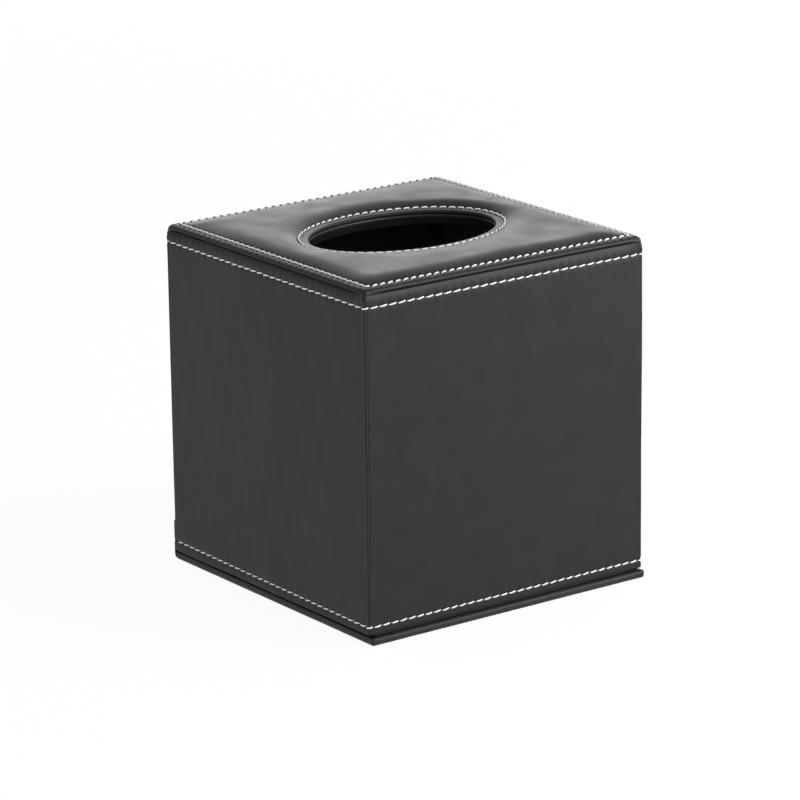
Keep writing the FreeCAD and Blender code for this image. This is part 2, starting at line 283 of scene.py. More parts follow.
# ---- materials ---------------------------------------------------------------------
def feed(tree, socket, value):
    """Links a socket to another one, or sets its plain value."""
    if isinstance(value, bpy.types.NodeSocket):
        tree.links.new(value, socket)
    else:
        socket.default_value = value


def add_math(tree, operation, *values):
    """Math node with these inputs."""
    node = tree.nodes.new("ShaderNodeMath")
    node.operation = operation
    for socket, value in zip(node.inputs, values):
        feed(tree, socket, value)
    return node.outputs[0]


class Recipe:
    """Small helper that wires a node material."""

    def __init__(self, name):
        self.material = bpy.data.materials.new(name)
        self.material.use_nodes = True
        self.tree = self.material.node_tree
        self.shader = self.tree.nodes["Principled BSDF"]
        self.place = self.add("ShaderNodeTexCoord").outputs["Object"]

    def add(self, kind, inputs=None, **settings):
        node = self.tree.nodes.new(kind)
        for name, value in settings.items():
            setattr(node, name, value)
        for name, value in (inputs or {}).items():
            feed(self.tree, node.inputs[name], value)
        return node

    def noise(self, scale, detail=2.0, roughness=0.5):
        node = self.add("ShaderNodeTexNoise", {"Vector": self.place, "Scale": scale, "Detail": detail,
                                               "Roughness": roughness})
        return node.outputs["Fac"]

    def spread(self, value, low, high, to_low, to_high):
        node = self.add("ShaderNodeMapRange", {"Value": value, "From Min": low, "From Max": high,
                                               "To Min": to_low, "To Max": to_high})
        return node.outputs["Result"]

    def mix(self, factor, a, b):
        node = self.add("ShaderNodeMix", data_type="RGBA")
        feed(self.tree, node.inputs[0], factor)
        for index, colour in ((6, a), (7, b)):
            plain = not isinstance(colour, bpy.types.NodeSocket)
            feed(self.tree, node.inputs[index], (*colour, 1.0) if plain else colour)
        return node.outputs[2]

    def math(self, operation, *values):
        return add_math(self.tree, operation, *values)

    def relief(self, height, strength, distance, under=None):
        node = self.add("ShaderNodeBump", {"Height": height, "Strength": strength, "Distance": distance})
        if under is not None:
            feed(self.tree, node.inputs["Normal"], under)
        return node.outputs["Normal"]

    def finish(self, colour, roughness, normal, **sockets):
        sockets.update(Base_Color=colour, Roughness=roughness, Normal=normal)
        for name, value in sockets.items():
            feed(self.tree, self.shader.inputs[name.replace("_", " ")], value)
        return self.material


def base_colour(slot):
    """Colour that the record gives a slot."""
    for entry in frame["record"]["materials"]:
        if entry["slot"] == slot:
            return np.array(entry["base_color"])


def leather_material(name, shade=0.86, specular=0.155, fade=None):
    """Coated leather: fine pebble grain, pores, faint mottling and a satin finish.

    A fade is a pair of heights for painted shade: at the first the leather is painted a dull black with half
    its sheen, from the second on it is as usual.
    """
    grain, grain_strength = 0.75 * MM, 0.35
    r = Recipe(name)
    colour = base_colour("leather") * shade
    mottle = r.noise(90.0, 3.0)
    fine = r.noise(2600.0, 3.0, 0.6)
    pebble = r.add("ShaderNodeTexVoronoi", {"Vector": r.place, "Scale": 1 / grain, "Randomness": 0.95},
                   feature="SMOOTH_F1").outputs["Distance"]
    creases = r.add("ShaderNodeTexVoronoi", {"Vector": r.place, "Scale": 0.45 / grain, "Randomness": 1.0},
                    feature="DISTANCE_TO_EDGE").outputs["Distance"]
    crease_lines = r.spread(creases, 0.0, 0.12, 0.0, 1.0)
    tone = r.math("MULTIPLY", r.spread(mottle, 0.3, 0.7, 0.35, 0.65),
                  r.spread(crease_lines, 0.0, 1.0, 0.8, 1.0))
    blend = r.mix(tone, tuple(colour * 0.8), tuple(colour * 1.2))
    shine = specular
    # Painted shade: towards the fade's first height the colour goes dark and the sheen weaker, standing in
    # for shade that light hardly reaches.
    if fade:
        up = r.add("ShaderNodeSeparateXYZ", {"Vector": r.place}).outputs["Z"]
        blend = r.mix(r.spread(up, *fade, 0.0, 1.0), tuple(colour * 0.35), blend)
        shine = r.spread(up, *fade, 0.5 * specular, specular)
    gloss = r.spread(r.math("ADD", mottle, r.math("MULTIPLY", fine, 0.35)), 0.4, 1.0, 0.34, 0.46)
    height = r.math("ADD", r.math("MULTIPLY", pebble, 0.8), r.math("MULTIPLY", crease_lines, 0.35))
    normal = r.relief(height, grain_strength, 0.05 * MM)
    normal = r.relief(fine, grain_strength * 0.6, 0.02 * MM, normal)
    return r.finish(blend, gloss, normal, IOR=1.5, Specular_IOR_Level=shine)


def fibrous_material(slot, fine, coarse, shades, roughness, relief, **sockets):
    """Matt fibres under a coarser cloud: the twisted thread, and the pressed board with its flecks."""
    r = Recipe(slot)
    colour = base_colour(slot)
    fibres, cloud = r.noise(*fine), r.noise(*coarse)
    tone = r.spread(r.math("ADD", fibres, cloud), 0.7, 1.3, 0.0, 1.0)
    blend = r.mix(tone, tuple(colour * shades[0]), tuple(colour * shades[1]))
    return r.finish(blend, r.spread(fibres, 0.3, 0.7, *roughness), r.relief(fibres, *relief), **sockets)


def lining_material():
    """Plain woven lining: two crossing sets of yarns, with a soft nap."""
    r = Recipe("lining")
    colour = base_colour("lining")
    yarn = 0.55 * MM
    axes = r.add("ShaderNodeSeparateXYZ", {"Vector": r.place})
    turn = 2 * math.pi / yarn
    a, b, c = (r.math("SINE", r.math("MULTIPLY", axes.outputs[axis], turn)) for axis in "XYZ")
    weave = r.math("ADD", r.math("MULTIPLY", a, b), r.math("MULTIPLY", c, r.math("ADD", a, b)))
    nap = r.noise(1800.0, 4.0, 0.65)
    tone = r.spread(r.math("ADD", weave, nap), -0.8, 1.8, 0.0, 1.0)
    blend = r.mix(tone, tuple(colour * 0.7), tuple(colour * 1.5))
    normal = r.relief(r.math("ADD", r.math("MULTIPLY", weave, 0.5), nap), 0.55, 0.1 * MM)
    return r.finish(blend, r.spread(nap, 0.3, 0.7, 0.82, 0.95), normal, Specular_IOR_Level=0.2)


def foam_material():
    """Open-cell foam."""
    r = Recipe("foam")
    colour = base_colour("foam")
    cells = r.add("ShaderNodeTexVoronoi", {"Vector": r.place, "Scale": 1600.0}).outputs["Distance"]
    blend = r.mix(r.spread(cells, 0.0, 0.8, 0.0, 1.0), tuple(colour * 0.8), tuple(colour))
    return r.finish(blend, r.spread(cells, 0.0, 0.8, 0.8, 0.95), r.relief(cells, 0.6, 0.15 * MM))


def magnet_material():
    """Nickel-plated magnet with faint tumbling marks."""
    r = Recipe("magnet")
    colour = base_colour("magnet")
    marks = r.noise(1400.0, 4.0, 0.6)
    blend = r.mix(r.spread(marks, 0.3, 0.7, 0.0, 1.0), tuple(colour * 0.85), tuple(colour * 1.1))
    return r.finish(blend, r.spread(marks, 0.3, 0.7, 0.22, 0.38), r.relief(marks, 0.15, 0.02 * MM),
                    Metallic=1.0)


wall_skin = leather_material("leather_wall")
panel_skin = leather_material("leather_panel")
# Painted light and shade: the flap's leather is a lighter copy of the walls' (shade 1.0 against 0.86), and
# its top face, in the gap under the walls, is painted dull black as shadow.
flap_skin = leather_material("leather_flap", shade=1.0,
                             fade=(flap_high.z - 0.02 * MM, flap_high.z - 0.12 * MM))
hinge_skin = leather_material("leather_hinge", shade=1.0)
# Painted shade: the collar down inside the mouth is painted dull black below its rolled top, where little
# light gets in.
collar_skin = leather_material("leather_collar", specular=0.2,
                               fade=(body_top - 1.4 * MM, body_top - 0.7 * MM))
thread = fibrous_material("thread", (5200.0, 4.0, 0.6), (700.0, 2.0), (0.86, 1.06), (0.62, 0.8),
                          (0.5, 0.04 * MM), Specular_IOR_Level=0.3)
lining = lining_material()
board = fibrous_material("board", (900.0, 5.0, 0.7), (60.0, 2.0), (0.75, 1.15), (0.75, 0.92), (0.4, 0.1 * MM))
foam = foam_material()
magnet = magnet_material()


# ---- walls -------------------------------------------------------------------------
def side_places(length, pitch_columns, count):
    """Places along a side: even over its length, closer together near its two ends."""
    even = np.linspace(0, 1, count * pitch_columns + 1)
    near = np.array([0.25, 0.5, 0.75, 1.0, 1.25, 1.5, 1.8, 2.1]) * MM / length
    inner = even[(even > near[-1] * 1.2) & (even < 1 - near[-1] * 1.2)]
    return np.concatenate([[0.0], near, inner, 1 - near[::-1], [1.0]])


wall_square = Square(side_places(2 * (half_x - wall_corner), stitch_columns, lower_stitches // 4), 8)
wall_loop = wall_square.loop(half_x, half_y, wall_corner)
corner_middle = -math.pi / 4 * wall_corner
upper_track = Track(wall_loop, upper_stitches, corner_middle)
lower_track = Track(wall_loop, lower_stitches, corner_middle)


def wall_profile():
    """Closed cross-section of the wall's wrap: inset from the face and height."""
    inside = leather + board_thickness
    clear = inside + hem_thickness
    foot, round_ = wall_bottom, wall_foot_round
    near = np.array([0.2, 0.4, 0.65, 0.95, 1.3, 1.8, 2.4]) * MM
    rows_near = np.concatenate([-near[::-1], [0.0], near])
    face = np.concatenate([
        foot + round_ + np.array([0.08, 0.3, 0.8]) * MM,
        lower_row + rows_near[rows_near > -1.4 * MM],
        np.linspace(lower_row + 4.5 * MM, upper_row - 4.5 * MM, 40),
        upper_row + rows_near[rows_near < 0.9 * MM],
    ])
    roll_start = body_top - roll_height
    parts = [
        run((clear, hem_top), (clear, foot + 0.5 * MM), 6),
        arc((clear - 0.5 * MM, foot + 0.5 * MM), (0.5 * MM, 0.5 * MM), 0, -90, 4),
        run((clear - 0.8 * MM, foot), (round_, foot), 4),
        arc((round_, foot + round_), (round_, round_), -90, -180, 7)[:-1],
        np.stack([np.zeros(len(face)), face], -1),
        arc((roll_depth, roll_start), (roll_depth, roll_height), 180, 90, 16),
        run((roll_depth + 0.5 * MM, body_top), (leather + turn_in, body_top), 5),
        run((leather + turn_in, body_top), (leather + turn_in, body_top - leather), 2),
        run((leather + turn_in, body_top - leather), (2.6 * MM, body_top - leather), 4),
        run((2.2 * MM, body_top - leather), (leather, body_top - 2.8 * MM), 3),
        run((leather, body_top - 2.8 * MM), (leather, foot + leather), 8),
        run((leather, foot + leather), (inside, foot + leather), 2),
        run((inside, foot + leather), (inside, hem_top), 3),
        [(inside, hem_top)],
    ]
    return np.vstack(parts)


def profile_normals(profile):
    """Outward directions of a closed cross-section, as (outward, up)."""
    ahead = np.roll(profile, -1, 0) - np.roll(profile, 1, 0)
    ahead /= np.linalg.norm(ahead, axis=1, keepdims=True)
    return np.stack([ahead[:, 1], ahead[:, 0]], -1)


def climb(y):
    """How far the lower row lies above its level at a place from front to back."""
    return row_rise * (np.clip((y + half_y) / (2 * half_y), 0, 1) - row_start)


def make_wall_wrap():
    """Leather round the four walls, rolled over their top and turned in at the bottom."""
    profile = wall_profile()
    normals = profile_normals(profile)
    s = upper_track.lengths[:-1]
    rows, columns = len(profile), wall_square.columns
    points = np.zeros((rows, columns, 3))
    for i, (inset, z) in enumerate(profile):
        corner = max(wall_corner - inset, 0.25 * MM)
        points[i, :, :2] = wall_square.loop(half_x - inset, half_y - inset, corner)
        points[i, :, 2] = z
    outside = (profile[:, 0] < roll_depth + 1e-6) & (normals[:, 0] > 0.02)
    z = profile[:, 1][:, None]
    # The rolled edge is fuller at the corners, and the lower rows of the mesh follow the stitches.
    rolled = outside & (profile[:, 1] > body_top - roll_height)
    fuller = (1 - corner_roll) * corner_nearness(points[..., :2], half_x, half_y, corner_reach)
    points[..., :2] += wall_square.out[None] * (rolled[:, None] * profile[:, :1] * fuller)[..., None]
    bulge = bump(profile[:, 1] - (body_top - bulge_drop), bulge_width) * outside
    points[..., :2] += wall_square.out[None] * (bulge_depth * bulge[:, None] * corner_nearness(
        points[..., :2], half_x, half_y, corner_reach))[..., None]
    follow_heights = lower_row + np.array([-2.8, -1.4, 3.0, 30.0]) * MM
    follow = np.interp(z, follow_heights, [0, 1, 1, 0]) * outside[:, None]
    points[..., 2] += follow * climb(points[..., 1])
    points[..., :2] += centre
    lift = row_relief(upper_track, s[None, :], z - upper_row)
    lift += row_relief(lower_track, s[None, :], z - lower_row)
    lift += wall_swell * waves(points, 55 * MM, 3) + wall_ripple * waves(points, 11 * MM, 4)
    # Between the upper row and the roll the leather puffs up a little over each stitch.
    puffs = np.cos(2 * math.pi * (s[None, :] - corner_middle) / upper_track.pitch)
    above_row = bump(z - (upper_row + 2.4 * MM), 1.4 * MM)
    lift += gather_height * (puffs + 2 * waves(points, 16 * MM, 5)) * above_row
    # The leather is folded at each upright corner: a ridge with a crease beside it, which drifts along
    # the wall from bottom to top and back again over the roll.
    down = np.clip((body_top - z) / (body_top - wall_bottom), 0, 1)
    over = np.clip((z - upper_row) / (body_top - upper_row), 0, 1)
    drift = 0.95 * MM - 0.5 * MM * down - 2.2 * MM * over ** 1.5
    fade = np.clip((z - lower_row) / (25 * MM), 0.35, 1)
    total = upper_track.total
    for k in range(4):
        middle = corner_middle + total / 4 * k
        away = np.mod(s - middle + total / 2, total)[None, :] - total / 2 - drift
        lift -= fold_depth * fade * bump(away, fold_width)
        lift += ridge_height * fade * bump(away + ridge_away, ridge_width)
    # Only the outer faces have this relief, each along its own normal.
    lift = np.where(outside[:, None], lift, 0.0)
    points[..., :2] += wall_square.out[None] * (normals[:, :1] * lift)[..., None]
    points[..., 2] += normals[:, 1:] * lift
    make_object("wall_wrap", points, closed_faces(rows, columns), wall_skin, "box",
                ["wall_leather"])


# ---- padded top panel --------------------------------------------------------------
panel_square = Square(np.linspace(0, 1, edge_stitches // 4 * stitch_columns + 1), 12)
row_corner = 1.0 * MM
edge_inset = panel_half_x - edge_row_x
edge_loop = panel_square.loop(edge_row_x, edge_row_y, row_corner)
edge_track = Track(edge_loop, edge_stitches, -math.pi / 4 * row_corner)


def oval(a, b, heading):
    """Point of an oval in a given direction from its middle."""
    t = np.arctan2(a * np.sin(heading), b * np.cos(heading))
    return np.stack([a * np.cos(t), b * np.sin(t)], -1)


heading = np.arctan2(edge_loop[:, 1], edge_loop[:, 0])
mouth_track = Track(oval(mouth_row_a, mouth_row_b, heading), mouth_stitches)


def panel_loop(inset):
    """Loop this far inside the panel's edge."""
    corner = panel_corner - 0.42 * inset if inset < edge_inset else row_corner + 0.6 * (inset - edge_inset)
    return panel_square.loop(panel_half_x - inset, panel_half_y - inset, max(corner, 0.8 * MM))


def mouth_loop(offset):
    return oval(mouth_a + offset, mouth_b + offset, heading)


def swell(t):
    """Share of the pad's height at a share t of its slope."""
    return 1 - (1 - np.clip(t, 0, 1)) ** fullness


def soft_min(a, b, softness):
    """Smaller of the two, with a smooth change from one to the other."""
    h = np.clip(0.5 + 0.5 * (b - a) / softness, 0, 1)
    return b * (1 - h) + a * h - softness * h * (1 - h)


def pad_height(xy, foot):
    """Height of the pad over its stitched edges; foot moves its feet in from the stitches."""
    from_edge = soft_min(edge_row_x - np.abs(xy[..., 0]), edge_row_y - np.abs(xy[..., 1]), hip_softness)
    radius = np.linalg.norm(xy, axis=-1)
    rim = oval(mouth_row_a, mouth_row_b, np.arctan2(xy[..., 1], xy[..., 0]))
    across = np.linalg.norm(rim, axis=-1)
    sideways = np.abs(xy[..., 0]) / np.maximum(radius, 1e-6)
    from_mouth = (radius - across) * np.clip(0.82 + 0.18 * sideways, 0, 1)
    slow_edge = 1 + rear_ease * np.clip((xy[..., 1] / edge_row_y - 0.4) / 0.4, 0, 1)
    slow_mouth = 1 + front_ease * np.clip(-xy[..., 1] / mouth_row_b, 0, 1)
    return (crown * swell((from_edge - foot) / (edge_rise * slow_edge))
            * swell((from_mouth - foot) / (mouth_rise * slow_mouth)))


def panel_rows():
    """Plan of each loop from the mouth's rim to the panel's edge, and its distance to each stitch row."""
    mouth_offsets = (mouth_row_a - mouth_a) + np.array([
        -2.75, -2.25, -1.8, -1.4, -1.0, -0.65, -0.4, -0.2, 0.0,
        0.2, 0.4, 0.65, 1.0, 1.4, 1.9, 2.5, 3.2, 4.0, 5.0, 6.2]) * MM
    edge_insets = edge_inset + np.array([
        9.1, 7.7, 6.5, 5.4, 4.4, 3.5, 2.8, 2.2, 1.75, 1.35, 1.0, 0.75, 0.5, 0.25,
        0.0, -0.2, -0.4, -0.7, -1.0, -1.25]) * MM
    rows = [mouth_loop(o) for o in mouth_offsets]
    between = np.linspace(0, 1, 9)[1:-1]
    for t in between:
        rows.append((1 - t) * mouth_loop(mouth_offsets[-1]) + t * panel_loop(edge_insets[0]))
    rows += [panel_loop(d) for d in edge_insets]
    # A loop that belongs to the other row of stitches counts as 1 m away.
    far_from_mouth = np.full(len(between) + len(edge_insets), 1.0)
    far_from_edge = np.full(len(mouth_offsets) + len(between), 1.0)
    across_mouth = np.concatenate([mouth_offsets - (mouth_row_a - mouth_a), far_from_mouth])
    across_edge = np.concatenate([far_from_edge, edge_insets - edge_inset])
    return np.array(rows), across_mouth, across_edge


def panel_top_surface():
    """Upper side of the panel's leather, with the pad's swell and the pull of the stitches."""
    xy, across_mouth, across_edge = panel_rows()
    height = pad_height(xy, stitch_foot * 0.6)
    points = np.dstack([xy, np.zeros(xy.shape[:2])])
    s_edge, s_mouth = edge_track.lengths[:-1], mouth_track.lengths[:-1]
    lift = row_relief(edge_track, s_edge[None], across_edge[:, None])
    lift += row_relief(mouth_track, s_mouth[None], across_mouth[:, None])
    free = np.clip(height / crown, 0, 1)
    lift += free * (pad_swell * waves(points, 48 * MM, 11) + pad_ripple * waves(points, 14 * MM, 12))
    # Small gathers run from the stitches a little way up the pad.
    gathers = np.cos(2 * math.pi * (s_edge[None] - edge_track.stitches[0]) / edge_track.pitch)
    lift += gather_height * gathers * bump(across_edge[:, None] - 1.5 * MM, 0.9 * MM)
    # Inside its row of stitches the mouth's rim falls a little.
    lift -= rim_fall * np.clip(-across_mouth / (3.1 * MM), 0, 1)[:, None]
    points[..., 2] = panel_top + height + lift
    return points


def make_panel_cover():
    """Stitched leather over the foam, turned in under the board at its edge and at the mouth."""
    top = panel_top_surface()
    columns = panel_square.columns
    edge_z, rim_z = top[-1, :, 2], top[0, :, 2]
    corners = corner_nearness(panel_loop(0.0), panel_half_x, panel_half_y, droop_reach)
    out = []

    def ring(xy, z):
        out.append(np.column_stack([xy, np.broadcast_to(z, columns)]))

    under, board_foot, board_top = body_top, panel_board_low.z, panel_board_high.z
    # From the mouth's hem, round its rim and on to the top.
    for offset in (mouth_hem, 5.0 * MM, 2.4 * MM, 0.8 * MM, 0.3 * MM):
        ring(mouth_loop(offset), under + 0.02 * MM)
    ring(mouth_loop(0.06 * MM), under + 0.22 * MM)
    ring(mouth_loop(0.0), under + 0.5 * MM)
    rim_round, rim_foot = 1.0 * MM, under + 0.75 * MM
    for angle in np.linspace(0, 85, 8):
        a = math.radians(angle)
        ring(mouth_loop(rim_round * (1 - math.cos(a))), rim_foot + (rim_z - rim_foot) * math.sin(a))
    out += list(top)
    # Outside the stitches it falls in one round slope, and droops at the corners.
    low = under + 0.42 * MM - corner_droop * corners
    for share in (0.12, 0.26, 0.4, 0.54, 0.66, 0.77, 0.86, 0.93, 0.98, 1.0):
        fall = (1 - share ** edge_power) ** (1 / edge_power)
        ring(panel_loop(edge_fall * (1 - share)), low + (edge_z - low) * fall)
    for inset, height in ((0.06, 0.24), (0.2, 0.1), (0.45, 0.03)):
        ring(panel_loop(inset * MM), under + height * MM - corner_droop * corners)
    for inset in (1.2 * MM, 3.0 * MM, 6.0 * MM, panel_hem):
        ring(panel_loop(inset), under + 0.02 * MM)
    # Back along the inside, over the board and the foam.
    ring(panel_loop(panel_hem), board_foot)
    ring(panel_loop(panel_cover), board_foot)
    ring(panel_loop(panel_cover), board_top)
    inner = top[::-3].copy()
    inner[..., 2] = board_top + pad_height(inner[..., :2], stitch_foot + panel_cover / 2) + 0.06 * MM
    out += list(inner[1:-1])
    ring(mouth_loop(panel_cover), board_top)
    ring(mouth_loop(panel_cover), board_foot)
    ring(mouth_loop(mouth_hem), board_foot)
    points = np.array(out)
    points[..., :2] += centre
    cover = make_object("panel_cover", points, closed_faces(len(points), columns), panel_skin,
                        "box", ["top_leather"])


def make_panel_foam():
    """The foam under the cover, a little lower than the leather's inside."""
    upper = panel_top_surface()[9:-12][::2].copy()      # only the rows between the two feet of the pad
    level = panel_board_high.z
    upper[..., 2] = level + pad_height(upper[..., :2], stitch_foot + panel_cover / 2)
    lower = upper[::-1].copy()
    lower[..., 2] = level
    points = np.concatenate([upper[1:-1], lower])
    points[..., :2] += centre
    pad = make_object("panel_foam", points, closed_faces(len(points), panel_square.columns), foam,
                      "box", ["top_foam"])


def make_panel_board():
    """The panel's board, with its corners cut round so that the leather can droop there."""
    low, high = panel_board_low.z, panel_board_high.z
    outer = panel_square.loop(panel_half_x - panel_cover, panel_half_y - panel_cover, 5 * MM)
    loops = [(outer, low), (outer, high), (mouth_loop(panel_cover), high), (mouth_loop(panel_cover), low)]
    points = [np.column_stack([xy + centre, np.full(len(xy), z)]) for xy, z in loops]
    make_object("panel_board", points, closed_faces(len(loops), panel_square.columns), board, "box",
                ["top_panel_board"])


def make_mouth_collar():
    """Leather collar down through the top board, rolled out over the board at its top."""
    thickness, roll = 0.6 * MM, 0.9 * MM
    top, bottom = body_top - 0.04 * MM, binding_low.z
    deck = roof_high.z
    profile = [(binding_flange, deck), (binding_flange, top - 0.3 * MM), (binding_flange - 0.3 * MM, top)]
    profile += [tuple(p) for p in run((binding_flange - 2 * MM, top), (roll, top), 3)]
    profile += [(roll * (1 - math.sin(a)), top - roll * (1 - math.cos(a)))
                for a in np.linspace(0, math.pi / 2, 7)]
    profile += [(0.0, z) for z in np.linspace(top - 1.3 * MM, bottom + 0.4 * MM, 8)]
    profile += [(0.1 * MM, bottom + 0.1 * MM), (thickness / 2, bottom), (thickness, bottom + 0.1 * MM),
                (thickness, deck)]
    points = np.array([np.column_stack([mouth_loop(offset) + centre, np.full(panel_square.columns, z)])
                       for offset, z in profile])
    flesh = np.array([1.0 if o < 0.5 * MM else 0.0 for o, _ in profile])[:, None]
    inward = -(points[..., :2] - centre) / np.linalg.norm(points[..., :2] - centre, axis=-1, keepdims=True)
    points[..., :2] += inward * (flesh * 0.05 * MM * waves(points, 12 * MM, 21))[..., None]
    make_object("mouth_collar", points, closed_faces(len(points), panel_square.columns), collar_skin,
                "box", ["mouth_binding"])


# ---- bottom flap -------------------------------------------------------------------
flap_half_x = (flap_high.x - flap_low.x) / 2
flap_half_y = (flap_high.y - flap_low.y) / 2
flap_centre = np.array([(flap_high.x + flap_low.x) / 2, (flap_high.y + flap_low.y) / 2])
flap_leather = flap_board_low.z
flap_square = Square(side_places(2 * flap_half_x, 6, 29), 10)


def make_flap():
    """Leather round the flap's board, turned in on its top."""
    top, deck = flap_high.z, flap_board_high.z
    outline = flap_square.loop(flap_half_x, flap_half_y, flap_corner)
    lower = np.where(flap_square.out[:, 1] > 0.5, rear_round, flap_round)
    # The upper edge is rounded further in along the lip in front, but not at its corners.
    front = np.clip(-flap_square.out[:, 1], 0, 1) * (
        1 - corner_nearness(outline, flap_half_x, flap_half_y, 3 * MM))
    reach, fall = (0.7 + 1.2 * front) * MM, (0.7 + 0.5 * front) * MM
    columns = flap_square.columns
    rows = []

    def ring(inset, z):
        base = outline + flap_centre - flap_square.out * np.broadcast_to(inset, columns)[:, None]
        rows.append(np.column_stack([base, np.broadcast_to(z, columns)]))

    def deep_ring(inset, z):
        base = flap_square.loop(flap_half_x - inset, flap_half_y - inset, 0.6 * MM)
        rows.append(np.column_stack([base + flap_centre, np.full(len(base), z)]))

    for inset in (60 * MM, 40 * MM, 20 * MM, 9 * MM, 4 * MM):
        deep_ring(inset, 0.0)
    lower_rows = len(rows)
    for angle in np.linspace(0, 90, 9):
        a = math.radians(angle)
        ring(lower * (1 - math.sin(a)), lower * (1 - math.cos(a)))
    for angle in np.linspace(10, 90, 7):
        a = math.radians(angle)
        ring(reach * (1 - math.cos(a)), top - fall * (1 - math.sin(a)))
    outer_rows = len(rows)
    for inset in (2.4 * MM, 4 * MM, 6 * MM, 8 * MM):
        deep_ring(inset, top)
    for inset in (8 * MM, 4 * MM, flap_leather):
        deep_ring(inset, deck)
    ring(flap_leather, deck - 0.2 * MM)
    ring(flap_leather + lower * 0.3, flap_leather + 0.5 * MM)
    for inset in (3.5 * MM, 9 * MM, 20 * MM, 40 * MM, 60 * MM):
        deep_ring(inset, flap_leather)
    points = np.array(rows)
    edge = slice(lower_rows, outer_rows)
    side = waves(points[edge], 20 * MM, 31) * 0.06 * MM + waves(points[edge], 6 * MM, 32) * 0.02 * MM
    points[edge, :, :2] -= flap_square.out[None] * np.abs(side)[..., None]
    # The innermost loops of the lower and the upper side aren't joined to each other, but filled.
    last_loop = (len(points) - 1) * columns
    faces = tube_faces(len(points), columns)
    faces.append(list(reversed(range(columns))))
    faces.append(list(range(last_loop, last_loop + columns)))
    make_object("flap_wrap", points, faces, flap_skin, "flap", ["flap_leather"])


hinge_half = hinge_high.x
hinge_pitch = 2 * hinge_half / hinge_stitches


def make_hinge():
    """Strip of leather glued on the back wall, down over the gap and round the flap's rear edge."""
    back = half_y + centre[1]
    thickness = hinge_high.y - back
    radius = rear_round
    axis = np.array([back - radius, radius])
    wrap = math.radians(40)
    relief_foot = 4.9 * MM                      # below this the strip has no relief
    row = lower_row + climb(half_y)
    z_path = np.concatenate([np.linspace(hinge_high.z, hinge_high.z - 1.2 * MM, 5)[:-1],
                             np.linspace(hinge_high.z - 1.2 * MM, row + 2 * MM, 9)[:-1],
                             np.linspace(row + 2 * MM, row - 2 * MM, 15)[:-1],
                             np.linspace(row - 2 * MM, radius, 16)[:-1]])
    inner = [(back, z) for z in z_path]
    outer = [(back + thickness, z) for z in z_path]
    for a in np.linspace(0, wrap, 9):
        turned = np.array([math.cos(a), -math.sin(a)])
        inner.append(axis + radius * turned)
        outer.append(axis + (radius + thickness) * turned)
    inner, outer = np.array(inner), np.array(outer)
    # Both ends of the strip are pared thin.
    outer[0] = inner[0] + (0.12 * MM, 0.0)
    outer[1, 0] = back + 0.7 * thickness
    outer[-1] = inner[-1] + 0.25 * (outer[-1] - inner[-1])
    ends, reach = np.array([0.0, 0.25, 0.7]) * MM, hinge_half - 1.4 * MM
    xs = np.concatenate([-hinge_half + ends,
                         np.linspace(-reach, reach, (hinge_stitches - 1) * stitch_columns),
                         hinge_half - ends[::-1]])
    n = len(inner)
    columns = 2 * n
    points = np.zeros((len(xs), columns, 3))
    points[..., 0] = xs[:, None]
    points[..., 1:] = np.concatenate([outer, inner[::-1]])
    for k, share in enumerate((0.45, 0.85)):
        for column in (k, len(xs) - 1 - k):
            points[column, :n, 1:] = inner + (outer - inner) * share
    z = points[:, :n, 2]
    phase = np.mod(xs[:, None] + hinge_half, hinge_pitch)
    hole = bump(np.minimum(phase, hinge_pitch - phase), hole_width * 1.6) * bump(z - row, hole_width)
    lift = -0.15 * MM * bump(z - row, valley_width) - 0.2 * MM * hole
    lift -= 0.04 * MM * np.abs(waves(points[:, :n], 18 * MM, 41))
    lift *= (z > relief_foot) & (np.arange(n)[None] > 1)
    points[:, :n, 1] += lift
    faces = [(a, d, c, b) for a, b, c, d in tube_faces(len(xs), columns)]
    last = (len(xs) - 1) * columns
    for j in range(n - 1):
        a, b, c, d = j, j + 1, columns - 2 - j, columns - 1 - j
        faces.append((a, b, c, d))
        faces.append((last + d, last + c, last + b, last + a))
    strip = make_object("hinge_strip", points, faces, hinge_skin, None, ["hinge_leather"])
    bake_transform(strip)


# ---- stitches ----------------------------------------------------------------------
def thread_bars(middles, across, up, half, tilt, seed, height, thick=1.0):
    """Twisted threads, one per stitch, along the lines that middles gives; across and up are directions."""
    rng = np.random.default_rng(seed)
    count, steps = middles.shape[:2]
    u = np.linspace(-1, 1, steps)[None, :, None]
    # Each thread has a slant, a sway and a shift of its own, tapers to its ends and shows its twist.
    slant = (tilt + rng.uniform(-0.02, 0.02, count))[:, None, None]
    sway = (0.03 + rng.uniform(-0.02, 0.02, count))[:, None, None] * MM
    shift = rng.uniform(-0.04, 0.04, count)[:, None, None] * MM
    side = slant * u * half + sway * np.sin(math.pi * u) + shift
    rise = height - thread_sink * np.abs(u) ** 5
    line = middles + across * side + up * rise
    around = np.linspace(0, 2 * math.pi, 11)[:-1]
    taper = 1 - 0.45 * np.abs(u) ** 4
    turn = rng.uniform(0, math.pi, count)[:, None, None] + 3.3 * u
    ply = 1 + 0.08 * np.cos(2 * around[None, None, :] - 2 * turn)
    wide = (thick * thread_radius * taper * ply * np.cos(around))[..., None]
    tall = (thick * thread_radius * taper * ply * np.sin(around))[..., None]
    return line[:, :, None] + across[:, :, None] * wide + up[:, :, None] * tall


def thread_faces(count, steps, sides):
    """Faces of so many closed bars."""
    size = steps * sides
    bar = tube_faces(steps, sides) + [list(reversed(range(sides))), list(range(size - sides, size))]
    return [[k * size + corner for corner in face] for k in range(count) for face in bar]


